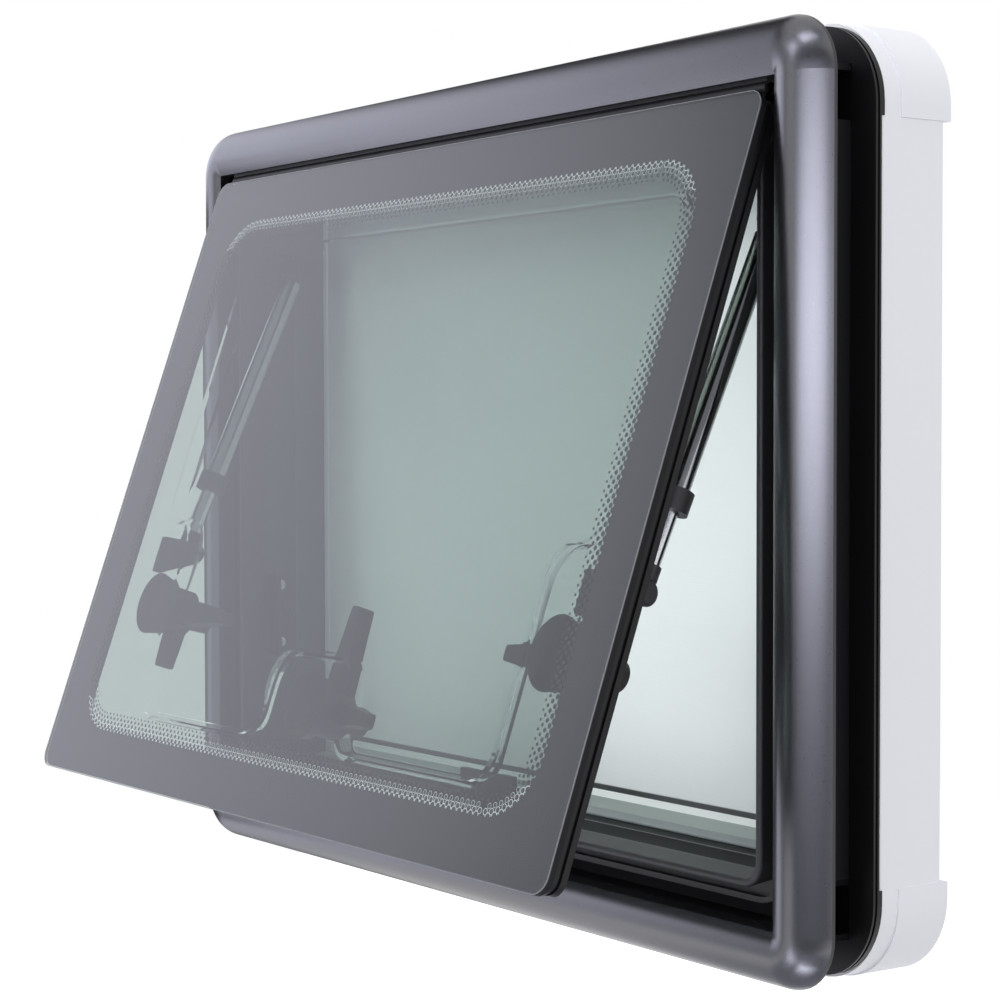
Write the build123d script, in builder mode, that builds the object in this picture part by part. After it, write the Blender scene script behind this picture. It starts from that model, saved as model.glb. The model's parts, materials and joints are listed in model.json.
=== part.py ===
"""Top-hung caravan window with a bonded frame, an open double pane, latches, stays and a roller blind.

Millimetres. X runs along the wall, Y into the vehicle and Z up. The origin is the middle of the
window on the outer skin of the wall, so everything at negative Y stands outside.
"""

import os
from math import atan2, cos, degrees, hypot, radians, sin

from build123d import *

# Outer frame, a bent aluminium section
OUTER_W = 640.0
OUTER_H = 490.0
FACE_W = 30.5
CROWN = 17.5
CROWN_U = 11.0
LIP = 14.3
FRAME_WALL = 2.0

# Seal against the skin of the wall
GASKET_T = 2.0
GASKET_W = 16.0

# Liner through the wall
WALL_T = 30.0
CUTOUT_COVER = 20.0
CUTOUT_GAP = 3.0
GUTTER_DEPTH = 12.0
UPSTAND = 23.5
LINER_SKIN = 3.0

# Lip seal that the sash closes on
SEAL_W = 15.5
SEAL_BASE_T = 4.0
SEAL_PRESS = 8.5
SEAL_CLEAR = 0.6
SEAL_LIP_W = 4.5
SEAL_LEAN = 2.0
SEAL_EDGE_R = 2.0
SEAL_RIDGE_W = 3.0
SEAL_RIDGE_H = 4.0
SEAL_CORNER_R = 24.0

# Clamp ring on the inside of the wall
CLAMP_T = 4.0
CLAMP_INSET = 4.5
CLAMP_END_INSET = 1.0
CLAMP_CLEAR = 0.6
CLAMP_CORNER_R = 42.0
CLAMP_RIM_T = 1.2
CLAMP_GROOVE = 1.0
CLAMP_CORNER_D = 2.0

# Dark reveal between the liner and the blind
REVEAL_T = 3.0
REVEAL_D = 22.8
REVEAL_CLEAR = 1.0

# White cassette for the blind
CASSETTE_DEPTH = 44.0
CASSETTE_INSET = 5.0
CASSETTE_OVER = 1.2
CASSETTE_WALL = 3.0
CASSETTE_EDGE_R = 2.0
CORNER_PROUD = 0.8
CORNER_BACK_PROUD = 3.8
CORNER_STEP_D = 11.5
CORNER_R = 44.0

# Roller blind
BLIND_Y = 62.0
BLIND_T = 1.0
BLIND_SIDE_GAP = 1.0
BAR_FRONT_Y = 57.6
BAR_T = 8.4
BAR_H = 19.8
BAR_UNDERCUT = 2.0
BAR_FOOT_H = 6.1
BAR_FACE_H = 6.9
BAR_SLOPE_H = 3.5
BAR_SLOPE_D = 2.0
BAR_HEM_BACK = 3.0
BAR_CLEAR = 0.6

# Sash
OPEN_DEG = 19.34
PANE_SIDE_GAP = 5.0
PANE_END_GAPS = 16.0
PANE_HEAD_GAP = 6.8
PANE_T = 4.0
PANE_CORNER_R = 10.0
PANE_TOP_Y = -16.5
RAIL_T = 9.0
RAIL_W = 22.0
RAIL_IN_R = 36.0
RAIL_INSET = 1.2
RAIL_GROOVE = 1.6
RAIL_RIDGE_T = 3.5
INNER_T = 3.0
INNER_INSET = 6.0
DOME_MARGIN = 47.0
DOME_END_MARGIN = 44.0
DOME_H = 8.0
DOME_CORNER_R = 18.0
DOME_EDGE_R = 3.0
DOME_TAPER = 35.0
SIDE_POCKET_W = 37.0
SIDE_POCKET_CLEAR = 9.0
BOTTOM_POCKET_HALF = 41.0
BOTTOM_POCKET_RISE = 54.0

# Hinge bead and the channel it turns in
HINGE_ABOVE = 5.0
BEAD_R = 2.5
BEAD_CLEAR = 0.3
CHANNEL_T = 1.5
HINGE_END_GAP = 10.0
CHANNEL_OVERLAP = 4.0
CHANNEL_MOUTH_IN = 32.0
CHANNEL_MOUTH_OUT = 55.0

# Latches
LATCH_SIDE = 62.5
LATCH_RISE = 119.0
BOTTOM_LATCH_RISE = 71.0
LATCH_BASE_R = 20.5
LATCH_BASE_T = 8.0
LATCH_TAPER = 15.0
LATCH_PIN_R = 5.0
LATCH_PIN_LEN = 11.0
PIN_CLEAR = 0.05
LEVER_GAP = 0.4
HUB_R = 15.0
LEVER_T = 10.0
LEVER_LIFT = 7.5
LEVER_LEN = 64.0
NOSE_LEN = 38.0
ARM_CORNER_R = 2.0
PADDLE_ROOT_R = 10.0
PADDLE_TIP_HALF = 4.5
NOSE_ROOT_R = 8.0
NOSE_TIP_HALF = 4.5
KNOB_R = 10.0
KNOB_H = 16.0
KNOB_TAPER = 5.0

# Strikers on the liner
STRIKER_T = 2.0
STRIKER_W = 56.0
STRIKER_LIP_T = 3.0
STRIKER_NOSE_GAP = 1.2
STRIKER_OVERLAP = 6.0
STRIKER_PLATE_D = 16.0

# Telescopic stays
STAY_SIDE = 21.0
STAY_TOP_Y = 24.0
STAY_DROP = 42.5
STAY_BACK = 39.0
STAY_PIN_R = 3.0
EYE_W = 10.0
EYE_R = 7.0
TUBE_R = 6.5
TUBE_BORE_R = 5.3
TUBE_START = 11.0
ROD_REACH = 53.5
COLLAR_R = 9.5
COLLAR_LEN = 12.0
COLLAR_LAP = 3.0
ROD_R = 4.8
ROD_CLEAR = 0.2
ROD_INNER_END = 50.0
SOCKET_R = 6.0
SOCKET_LEN = 15.0
BRACKET_T = 4.0
BRACKET_H = 26.0
BRACKET_D = 20.0
FOOT_T = 3.0
FOOT_W = 8.0
FOOT_H = 24.0
FOOT_CLEAR = 0.5
EAR_T = 5.0
EAR_GAP = 4.0
EAR_ABOVE = 4.0
BOSS_R = 6.0
PIN_HEAD_R = 5.0
PIN_HEAD_T = 2.0

# Derived frame sizes
APERTURE_W = OUTER_W - 2 * FACE_W
APERTURE_H = OUTER_H - 2 * FACE_W
LINER_OUT_W = OUTER_W - 2 * (CUTOUT_COVER + CUTOUT_GAP)
LINER_OUT_H = OUTER_H - 2 * (CUTOUT_COVER + CUTOUT_GAP)
LINER_IN_W = APERTURE_W - 2 * UPSTAND
LINER_IN_H = APERTURE_H - 2 * UPSTAND
CLAMP_BACK = WALL_T + CLAMP_T
CASSETTE_W = OUTER_W - 2 * CASSETTE_INSET
CASSETTE_H = OUTER_H + 2 * CASSETTE_OVER
CASSETTE_BACK = CLAMP_BACK + CASSETTE_DEPTH
CASSETTE_IN_W = LINER_IN_W + 2 * (REVEAL_T + REVEAL_CLEAR)
CASSETTE_IN_H = LINER_IN_H + 2 * (REVEAL_T + REVEAL_CLEAR)

# Derived sash sizes, with depths counted back from the outer face of the pane
PANE_W = APERTURE_W - 2 * PANE_SIDE_GAP
PANE_H = APERTURE_H - PANE_END_GAPS
PANE_TOP_Z = APERTURE_H / 2 - PANE_HEAD_GAP
LATCH_X = PANE_W / 2 - LATCH_SIDE
LATCH_V = PANE_H - LATCH_RISE
BOTTOM_LATCH_V = PANE_H - BOTTOM_LATCH_RISE
FOOT_TOP_V = LATCH_V - LATCH_BASE_R - FOOT_CLEAR - FOOT_H
STAY_V = FOOT_TOP_V + EAR_ABOVE
STAY_X = LINER_IN_W / 2 - STAY_SIDE
STAY_TOP_Z = LINER_IN_H / 2 - STAY_DROP
RAIL_BACK = PANE_T + RAIL_T
FLANGE_BACK = RAIL_BACK + INNER_T
HINGE_BACK = PANE_T + RAIL_T / 2
WEB_T = RAIL_T - 2 * RAIL_RIDGE_T
BASE_BACK = FLANGE_BACK + LATCH_BASE_T
LEVER_FRONT = BASE_BACK + LEVER_LIFT
LEVER_BACK = LEVER_FRONT + LEVER_T
OPEN = radians(OPEN_DEG)
HINGE_Y = PANE_TOP_Y + HINGE_BACK * cos(OPEN) + HINGE_ABOVE * sin(OPEN)
HINGE_Z = PANE_TOP_Z - HINGE_BACK * sin(OPEN) + HINGE_ABOVE * cos(OPEN)
CLOSED_FACE_Y = HINGE_Y - HINGE_BACK
CLOSED_TOP_Z = HINGE_Z - HINGE_ABOVE

os.makedirs("parts", exist_ok=True)


def finish(part, name):
    """Label a finished piece and write it."""
    part.label = name
    export_step(part, f"parts/{name}.step")


def wall_plane(y):
    """A plane parallel to the wall at depth y, with its sketch seen from outside."""
    return Plane(origin=(0, y, 0), x_dir=(1, 0, 0), z_dir=(0, -1, 0))


def sash_plane(x, v, back):
    """A plane on the open sash: x along it, v down from the pane's top edge, back behind its face."""
    origin = Vector(
        x,
        PANE_TOP_Y - v * sin(OPEN) + back * cos(OPEN),
        PANE_TOP_Z - v * cos(OPEN) - back * sin(OPEN),
    )
    return Plane(origin=origin, x_dir=(1, 0, 0), z_dir=(0, -cos(OPEN), sin(OPEN)))


def wall_ring(front, depth, outer, outer_r, inner, inner_r):
    """Add a rounded ring from depth front inwards to the open part."""
    with BuildSketch(wall_plane(front)) as ring:
        RectangleRounded(*outer, outer_r)
        RectangleRounded(*inner, inner_r, mode=Mode.SUBTRACT)
    extrude(ring.sketch, amount=-depth)


def sash_ring(front, depth, inset, width, inner_r):
    """Add a ring round the sash, its outside set in from the pane's edge."""
    size = (PANE_W - 2 * inset, PANE_H - 2 * inset)
    with BuildSketch(sash_plane(0, PANE_H / 2, front)) as ring:
        RectangleRounded(*size, PANE_CORNER_R - inset)
        RectangleRounded(size[0] - 2 * width, size[1] - 2 * width, inner_r, mode=Mode.SUBTRACT)
    extrude(ring.sketch, amount=-depth)


def rail_section(plane):
    """The hollow half-round section of the outer frame, drawn outwards from the aperture's edge."""
    with BuildSketch(plane) as section:
        with BuildLine():
            crown = ThreePointArc((0, LIP), (CROWN_U, CROWN), (FACE_W, GASKET_T))
            foot = Line(crown @ 1, (FACE_W - FRAME_WALL, GASKET_T))
            under = ThreePointArc(
                foot @ 1, (CROWN_U, CROWN - FRAME_WALL), (FRAME_WALL, LIP - FRAME_WALL)
            )
            Polyline(under @ 1, (FRAME_WALL, GASKET_T), (0, GASKET_T), (0, LIP))
        make_face()
    return section.sketch


# Outer frame: one section bent round four corners that are sharp inside
corner = (APERTURE_W / 2, 0, APERTURE_H / 2)
with BuildPart() as outer_frame:
    head = rail_section(Plane(origin=corner, x_dir=(0, 0, 1), z_dir=(1, 0, 0)))
    extrude(head, amount=-APERTURE_W / 2)
    revolve(head, axis=Axis(corner, (0, 1, 0)), revolution_arc=90)
    stile = rail_section(Plane(origin=corner, x_dir=(1, 0, 0), z_dir=(0, 0, -1)))
    extrude(stile, amount=APERTURE_H / 2)
    mirror(about=Plane.XY)
    mirror(about=Plane.YZ)
finish(outer_frame.part, "outer_frame")

# Wall gasket: flat ring between the frame's foot and the skin
with BuildPart() as wall_gasket:
    wall_ring(
        -GASKET_T,
        GASKET_T,
        (OUTER_W, OUTER_H),
        FACE_W,
        (OUTER_W - 2 * GASKET_W, OUTER_H - 2 * GASKET_W),
        FACE_W - GASKET_W,
    )
finish(wall_gasket.part, "wall_gasket")


def liner_section(plane):
    """The liner's stepped section with its chamber, drawn outwards from the upstand's inner face."""
    deep = LINER_OUT_W / 2 - LINER_IN_W / 2
    gutter = deep - UPSTAND
    chamber = (deep - 2 * LINER_SKIN, CLAMP_BACK - GUTTER_DEPTH - 2 * LINER_SKIN)
    with BuildSketch(plane) as section:
        with Locations((deep / 2, (GUTTER_DEPTH + CLAMP_BACK) / 2)):
            Rectangle(deep, CLAMP_BACK - GUTTER_DEPTH)
            Rectangle(*chamber, mode=Mode.SUBTRACT)
        with Locations((deep - gutter / 2, (GUTTER_DEPTH - GASKET_T) / 2)):
            Rectangle(gutter, GUTTER_DEPTH + GASKET_T)
    return section.sketch


# Liner: four box sections through the wall, the jambs standing between head and sill
for name, sign in (("liner_head", 1), ("liner_sill", -1)):
    with BuildPart() as liner_rail:
        start = (-sign * LINER_OUT_W / 2, 0, sign * LINER_IN_H / 2)
        section = liner_section(Plane(origin=start, x_dir=(0, 0, sign), z_dir=(-sign, 0, 0)))
        extrude(section, amount=-LINER_OUT_W)
    finish(liner_rail.part, name)
for name, sign in (("liner_jamb_left", -1), ("liner_jamb_right", 1)):
    with BuildPart() as liner_jamb:
        start = (sign * LINER_IN_W / 2, 0, -sign * LINER_IN_H / 2)
        section = liner_section(Plane(origin=start, x_dir=(sign, 0, 0), z_dir=(0, 0, sign)))
        extrude(section, amount=LINER_IN_H)
    finish(liner_jamb.part, name)

# Lip seal: rubber ring with a tall leaning lip and a low ridge outside it. The sash presses the lip back,
# which the open sash does only along the head.
seal_inner = (LINER_IN_W, LINER_IN_H)
seal_in_r = SEAL_CORNER_R - SEAL_W
lip_front = CLOSED_FACE_Y + FLANGE_BACK - SEAL_PRESS
base_front = GUTTER_DEPTH - SEAL_BASE_T
lip_depth = base_front - lip_front
lip_taper = degrees(atan2(SEAL_LEAN, lip_depth))
with BuildPart() as lip_seal:
    wall_ring(
        base_front,
        SEAL_BASE_T,
        (LINER_IN_W + 2 * SEAL_W, LINER_IN_H + 2 * SEAL_W),
        SEAL_CORNER_R,
        seal_inner,
        seal_in_r,
    )
    for spread, mode in ((SEAL_LEAN + SEAL_LIP_W, Mode.ADD), (SEAL_LEAN, Mode.SUBTRACT)):
        with BuildSketch(wall_plane(lip_front)) as lip:
            RectangleRounded(LINER_IN_W + 2 * spread, LINER_IN_H + 2 * spread, seal_in_r + spread)
        extrude(lip.sketch, amount=-lip_depth, taper=lip_taper, mode=mode)
    fillet(lip_seal.faces().sort_by(Axis.Y)[0].edges(), SEAL_EDGE_R)
    with BuildSketch(sash_plane(0, PANE_H / 2, FLANGE_BACK + SEAL_CLEAR)) as sash_back:
        Rectangle(PANE_W, PANE_H)
    extrude(sash_back.sketch, amount=FLANGE_BACK, mode=Mode.SUBTRACT)
    wall_ring(
        base_front - SEAL_RIDGE_H,
        SEAL_RIDGE_H,
        (LINER_IN_W + 2 * SEAL_W, LINER_IN_H + 2 * SEAL_W),
        SEAL_CORNER_R,
        (LINER_IN_W + 2 * (SEAL_W - SEAL_RIDGE_W), LINER_IN_H + 2 * (SEAL_W - SEAL_RIDGE_W)),
        SEAL_CORNER_R - SEAL_RIDGE_W,
    )
finish(lip_seal.part, "lip_seal")

# Clamp ring: pressed on the inside of the wall, round the liner, and thicker behind its round corners
clamp_size = (OUTER_W - 2 * CLAMP_INSET, OUTER_H - 2 * CLAMP_END_INSET)
clamp_inner = (LINER_OUT_W + 2 * CLAMP_CLEAR, LINER_OUT_H + 2 * CLAMP_CLEAR)
with BuildPart() as clamp_ring:
    for front, depth, groove in (
        (WALL_T, CLAMP_RIM_T, 0.0),
        (WALL_T + CLAMP_RIM_T, CLAMP_T - 2 * CLAMP_RIM_T, CLAMP_GROOVE),
        (CLAMP_BACK - CLAMP_RIM_T, CLAMP_RIM_T, 0.0),
    ):
        wall_ring(
            front,
            depth,
            (clamp_size[0] - 2 * groove, clamp_size[1] - 2 * groove),
            CLAMP_CORNER_R - groove,
            clamp_inner,
            CLAMP_CLEAR,
        )
    with BuildSketch(wall_plane(CLAMP_BACK)):
        RectangleRounded(*clamp_size, CLAMP_CORNER_R)
        Rectangle(CASSETTE_IN_W, clamp_size[1], mode=Mode.SUBTRACT)
        Rectangle(clamp_size[0], CASSETTE_IN_H, mode=Mode.SUBTRACT)
    extrude(amount=-CLAMP_CORNER_D)
finish(clamp_ring.part, "clamp_ring")

# Reveal: dark ring on the back of the liner that lines the cassette's inner edge
with BuildPart() as blind_reveal:
    with BuildSketch(wall_plane(CLAMP_BACK)):
        Rectangle(LINER_IN_W + 2 * REVEAL_T, LINER_IN_H + 2 * REVEAL_T)
        Rectangle(LINER_IN_W, LINER_IN_H, mode=Mode.SUBTRACT)
    extrude(amount=-REVEAL_D)
finish(blind_reveal.part, "blind_reveal")


def cassette_section(plane, width):
    """Hollow white section behind the clamp ring, drawn outwards from its inner face."""
    with BuildSketch(plane) as section:
        with Locations((width / 2, (CLAMP_BACK + CASSETTE_BACK) / 2)):
            RectangleRounded(width, CASSETTE_DEPTH, CASSETTE_EDGE_R)
            Rectangle(width - 2 * CASSETTE_WALL, CASSETTE_DEPTH - 2 * CASSETTE_WALL, mode=Mode.SUBTRACT)
    return section.sketch


# Cassette: four straight sections cut off at the corner pieces
for name, sign in (("cassette_head", 1), ("cassette_sill", -1)):
    with BuildPart() as cassette_rail:
        start = (-sign * CASSETTE_IN_W / 2, 0, sign * CASSETTE_IN_H / 2)
        plane = Plane(origin=start, x_dir=(0, 0, sign), z_dir=(-sign, 0, 0))
        extrude(cassette_section(plane, (CASSETTE_H - CASSETTE_IN_H) / 2), amount=-CASSETTE_IN_W)
    finish(cassette_rail.part, name)
for name, sign in (("cassette_left", -1), ("cassette_right", 1)):
    with BuildPart() as cassette_side:
        start = (sign * CASSETTE_IN_W / 2, 0, -sign * CASSETTE_IN_H / 2)
        plane = Plane(origin=start, x_dir=(sign, 0, 0), z_dir=(0, 0, sign))
        extrude(cassette_section(plane, (CASSETTE_W - CASSETTE_IN_W) / 2), amount=CASSETTE_IN_H)
    finish(cassette_side.part, name)

# Corner pieces: rounded mouldings in two steps that stand proud of the straight sections
corner_front = CLAMP_BACK + CLAMP_CORNER_D
with BuildPart() as cassette_corners:
    for front, back, proud in (
        (corner_front, corner_front + CORNER_STEP_D, 0.0),
        (corner_front + CORNER_STEP_D, CASSETTE_BACK + CORNER_BACK_PROUD, CORNER_PROUD),
    ):
        size = (CASSETTE_W + 2 * proud, CASSETTE_H + 2 * proud)
        with BuildSketch(wall_plane(front)):
            RectangleRounded(*size, CORNER_R)
            Rectangle(CASSETTE_IN_W, size[1], mode=Mode.SUBTRACT)
            Rectangle(size[0], CASSETTE_IN_H, mode=Mode.SUBTRACT)
        extrude(amount=front - back)
finish(cassette_corners.part, "cassette_corners")

# Roller blind: drawn down behind the opening, with a bar along its foot
blind_w = CASSETTE_IN_W - 2 * BLIND_SIDE_GAP
bar_bottom = BAR_CLEAR - CASSETTE_IN_H / 2
blind_h = CASSETTE_IN_H / 2 - bar_bottom - BAR_H
with BuildPart() as blind_cloth:
    with BuildSketch(wall_plane(BLIND_Y)):
        with Locations((0, (CASSETTE_IN_H - blind_h) / 2)):
            Rectangle(blind_w, blind_h)
    extrude(amount=-BLIND_T)
finish(blind_cloth.part, "blind_cloth")
face_top = BAR_FOOT_H + BAR_FACE_H
hem_foot = face_top + BAR_SLOPE_H
with BuildPart() as blind_bar:
    bar_foot = (-blind_w / 2, BAR_FRONT_Y, bar_bottom)
    with BuildSketch(Plane(origin=bar_foot, x_dir=(0, 1, 0), z_dir=(1, 0, 0))):
        with BuildLine():
            Polyline(
                (BAR_UNDERCUT, 0),
                (0, BAR_FOOT_H),
                (0, face_top),
                (BAR_SLOPE_D, hem_foot),
                (BAR_HEM_BACK, hem_foot),
                (BAR_HEM_BACK, BAR_H),
                (BAR_T, BAR_H),
                (BAR_T, 0),
                close=True,
            )
        make_face()
    extrude(amount=blind_w)
finish(blind_bar.part, "blind_bar")

# Outer pane: flat toughened sheet
with BuildPart() as outer_pane:
    with BuildSketch(sash_plane(0, PANE_H / 2, 0)):
        RectangleRounded(PANE_W, PANE_H, PANE_CORNER_R)
    extrude(amount=-PANE_T)
finish(outer_pane.part, "outer_pane")

# Sash rail: black ring bonded behind the pane's edge, with two ridges round its rim
with BuildPart() as sash_rail:
    groove = RAIL_INSET + RAIL_GROOVE
    sash_ring(PANE_T, RAIL_T, groove, RAIL_W, RAIL_IN_R)
    for ridge_front in (PANE_T, RAIL_BACK - RAIL_RIDGE_T):
        sash_ring(ridge_front, RAIL_RIDGE_T, RAIL_INSET, RAIL_W / 2, PANE_CORNER_R)
finish(sash_rail.part, "sash_rail")

# Latch places: across the sash and down it from the pane's top edge
latches = {
    "left": (-LATCH_X, LATCH_V),
    "right": (LATCH_X, LATCH_V),
    "bottom": (0.0, BOTTOM_LATCH_V),
}


def dome_outline(inset):
    """The raised part of the inner pane, notched at both lower corners and in the middle for the latches."""
    side = PANE_W / 2 - DOME_MARGIN - inset
    low_side = side - SIDE_POCKET_W
    notch = BOTTOM_POCKET_HALF + inset
    top = PANE_H / 2 - DOME_END_MARGIN - inset
    step = PANE_H / 2 - FOOT_TOP_V + SIDE_POCKET_CLEAR + inset
    notch_top = DOME_END_MARGIN + BOTTOM_POCKET_RISE - PANE_H / 2 + inset
    with BuildSketch(sash_plane(0, PANE_H / 2, FLANGE_BACK)) as outline:
        with BuildLine():
            half = Polyline(
                (0, top),
                (side, top),
                (side, step),
                (low_side, step),
                (low_side, -top),
                (notch, -top),
                (notch, notch_top),
                (0, notch_top),
            )
            mirror(half, about=Plane.YZ)
        make_face()
        corners = outline.vertices().filter_by(lambda vertex: abs(vertex.X) > inset)
        fillet(corners, DOME_CORNER_R)
    return outline.sketch


# Inner pane: moulded sheet on the rail, raised between the latches
with BuildPart() as inner_pane:
    with BuildSketch(sash_plane(0, PANE_H / 2, RAIL_BACK)):
        RectangleRounded(
            PANE_W - 2 * INNER_INSET, PANE_H - 2 * INNER_INSET, PANE_CORNER_R
        )
    extrude(amount=-INNER_T)
    extrude(dome_outline(0), amount=-DOME_H, taper=DOME_TAPER)
    inward = Axis((0, 0, 0), (0, cos(OPEN), -sin(OPEN)))
    fillet(inner_pane.faces().sort_by(inward)[-1].edges(), DOME_EDGE_R)
    hollow = dome_outline(INNER_T)
    extrude(hollow, amount=INNER_T, mode=Mode.SUBTRACT)
    extrude(hollow, amount=INNER_T - DOME_H, taper=DOME_TAPER, mode=Mode.SUBTRACT)
finish(inner_pane.part, "inner_pane")

# Hinge: a bead along the top of the sash turns in a channel under the frame's head
bead_len = PANE_W - 2 * HINGE_END_GAP
with BuildPart() as hinge_bead:
    with BuildSketch(Plane(origin=(-bead_len / 2, HINGE_Y, HINGE_Z), x_dir=(0, 1, 0), z_dir=(1, 0, 0))):
        Circle(BEAD_R)
    extrude(amount=bead_len)
    web_len = HINGE_ABOVE + RAIL_INSET + RAIL_GROOVE
    with BuildSketch(sash_plane(0, web_len / 2 - HINGE_ABOVE, HINGE_BACK - WEB_T / 2)):
        Rectangle(bead_len, web_len)
    extrude(amount=-WEB_T)
finish(hinge_bead.part, "hinge_bead")

channel_len = bead_len + 2 * CHANNEL_OVERLAP
channel_r = BEAD_R + BEAD_CLEAR
with BuildPart() as hinge_channel:
    section_plane = Plane(
        origin=(-channel_len / 2, HINGE_Y, HINGE_Z), x_dir=(0, 1, 0), z_dir=(1, 0, 0)
    )
    with BuildSketch(section_plane):
        Circle(channel_r + CHANNEL_T)
        head_gap = APERTURE_H / 2 - HINGE_Z
        with Locations((0, head_gap / 2)):
            Rectangle(2 * channel_r, head_gap)
        Circle(channel_r, mode=Mode.SUBTRACT)
        mouth = 2 * (channel_r + CHANNEL_T)
        with BuildLine():
            Polyline(
                (0, 0),
                (mouth * sin(radians(CHANNEL_MOUTH_IN)), -mouth * cos(radians(CHANNEL_MOUTH_IN))),
                (-mouth * sin(radians(CHANNEL_MOUTH_OUT)), -mouth * cos(radians(CHANNEL_MOUTH_OUT))),
                close=True,
            )
        make_face(mode=Mode.SUBTRACT)
    extrude(amount=channel_len)
finish(hinge_channel.part, "hinge_channel")

# Latch bases: round mouldings beside the dome, each with the pin its lever turns on
with BuildPart() as latch_bases:
    for latch_x, latch_v in latches.values():
        with BuildSketch(sash_plane(latch_x, latch_v, FLANGE_BACK)):
            Circle(LATCH_BASE_R)
        extrude(amount=-LATCH_BASE_T, taper=LATCH_TAPER)
        with BuildSketch(sash_plane(latch_x, latch_v, BASE_BACK)):
            Circle(LATCH_PIN_R)
        extrude(amount=-LATCH_PIN_LEN)
finish(latch_bases.part, "latch_bases")

# Latch levers, unlocked: a hub with a knob, a paddle to turn it by and a nose square to the paddle
lever_turns = {"left": ((1, 0), (0, -1)), "right": ((-1, 0), (0, -1)), "bottom": ((0, 1), (1, 0))}
for name, (paddle, nose) in lever_turns.items():
    latch_x, latch_v = latches[name]
    with BuildPart() as latch_lever:
        with BuildSketch(sash_plane(latch_x, latch_v, BASE_BACK + LEVER_GAP)):
            Circle(HUB_R)
        extrude(amount=BASE_BACK + LEVER_GAP - LEVER_BACK)
        for direction, length, root_r, tip_half in (
            (paddle, LEVER_LEN, PADDLE_ROOT_R, PADDLE_TIP_HALF),
            (nose, NOSE_LEN, NOSE_ROOT_R, NOSE_TIP_HALF),
        ):
            reach = Vector(*direction) * (length - ARM_CORNER_R)
            aside = Vector(direction[1], direction[0]) * (tip_half - ARM_CORNER_R)
            with BuildSketch(sash_plane(latch_x, latch_v, LEVER_FRONT)):
                Circle(root_r)
                with Locations(reach + aside, reach - aside):
                    Circle(ARM_CORNER_R)
                make_hull()
            extrude(amount=-LEVER_T)
        with BuildSketch(sash_plane(latch_x, latch_v, LEVER_BACK)):
            Circle(KNOB_R)
        extrude(amount=-KNOB_H, taper=KNOB_TAPER)
        with BuildSketch(sash_plane(latch_x, latch_v, BASE_BACK)):
            Circle(LATCH_PIN_R + PIN_CLEAR)
        extrude(amount=-LATCH_PIN_LEN - LEVER_GAP, mode=Mode.SUBTRACT)
    finish(latch_lever.part, f"latch_lever_{name}")

# Strikers: plates on the liner whose lips the noses turn behind
nose_y = CLOSED_FACE_Y + LEVER_FRONT
lip_back_y = nose_y - STRIKER_NOSE_GAP
striker_places = (
    (LINER_IN_W / 2, CLOSED_TOP_Z - LATCH_V, LATCH_X + NOSE_LEN, "x", 1),
    (-LINER_IN_W / 2, CLOSED_TOP_Z - LATCH_V, LATCH_X + NOSE_LEN, "x", -1),
    (-LINER_IN_H / 2, 0.0, BOTTOM_LATCH_V + NOSE_LEN - CLOSED_TOP_Z, "z", -1),
)
with BuildPart() as strikers:
    for seat, along, nose_tip, axis_name, sign in striker_places:
        lip_len = abs(seat) - nose_tip + STRIKER_OVERLAP
        if axis_name == "x":
            section = Plane(
                origin=(seat, 0, along - STRIKER_W / 2), x_dir=(-sign, 0, 0), z_dir=(0, 0, 1)
            )
        else:
            section = Plane(
                origin=(along - STRIKER_W / 2, 0, seat), x_dir=(0, 0, -sign), z_dir=(1, 0, 0)
            )
        depth_sign = section.y_dir.Y
        with BuildSketch(section):
            with Locations((STRIKER_T / 2, depth_sign * (lip_back_y - STRIKER_LIP_T + STRIKER_PLATE_D / 2))):
                Rectangle(STRIKER_T, STRIKER_PLATE_D)
            with Locations((lip_len / 2, depth_sign * (lip_back_y - STRIKER_LIP_T / 2))):
                Rectangle(lip_len, STRIKER_LIP_T)
        extrude(amount=STRIKER_W)
finish(strikers.part, "strikers")

# Stay geometry: from the pin on the jamb to the pin on the open sash
stay_foot = sash_plane(0, STAY_V, STAY_BACK).origin
stay_run = (stay_foot.Y - STAY_TOP_Y, stay_foot.Z - STAY_TOP_Z)
stay_length = hypot(*stay_run)
tube_end = stay_length - ROD_REACH


def stay_plane(x, along):
    """A plane square to a stay, at a distance along it from its top pin."""
    share = along / stay_length
    return Plane(
        origin=(x, STAY_TOP_Y + stay_run[0] * share, STAY_TOP_Z + stay_run[1] * share),
        x_dir=(1, 0, 0),
        z_dir=(0, *stay_run),
    )


def stay_cylinder(x, start, end, radius, mode=Mode.ADD):
    """Add or cut a cylinder along a stay."""
    with BuildSketch(stay_plane(x, start)) as disc:
        Circle(radius)
    extrude(disc.sketch, amount=end - start, mode=mode)


def cross_cylinder(x0, x1, y, z, radius, mode=Mode.ADD):
    """Add or cut a cylinder across the window, from x0 to x1."""
    with BuildSketch(Plane(origin=(min(x0, x1), y, z), x_dir=(0, 1, 0), z_dir=(1, 0, 0))) as disc:
        Circle(radius)
    extrude(disc.sketch, amount=abs(x1 - x0), mode=mode)


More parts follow.
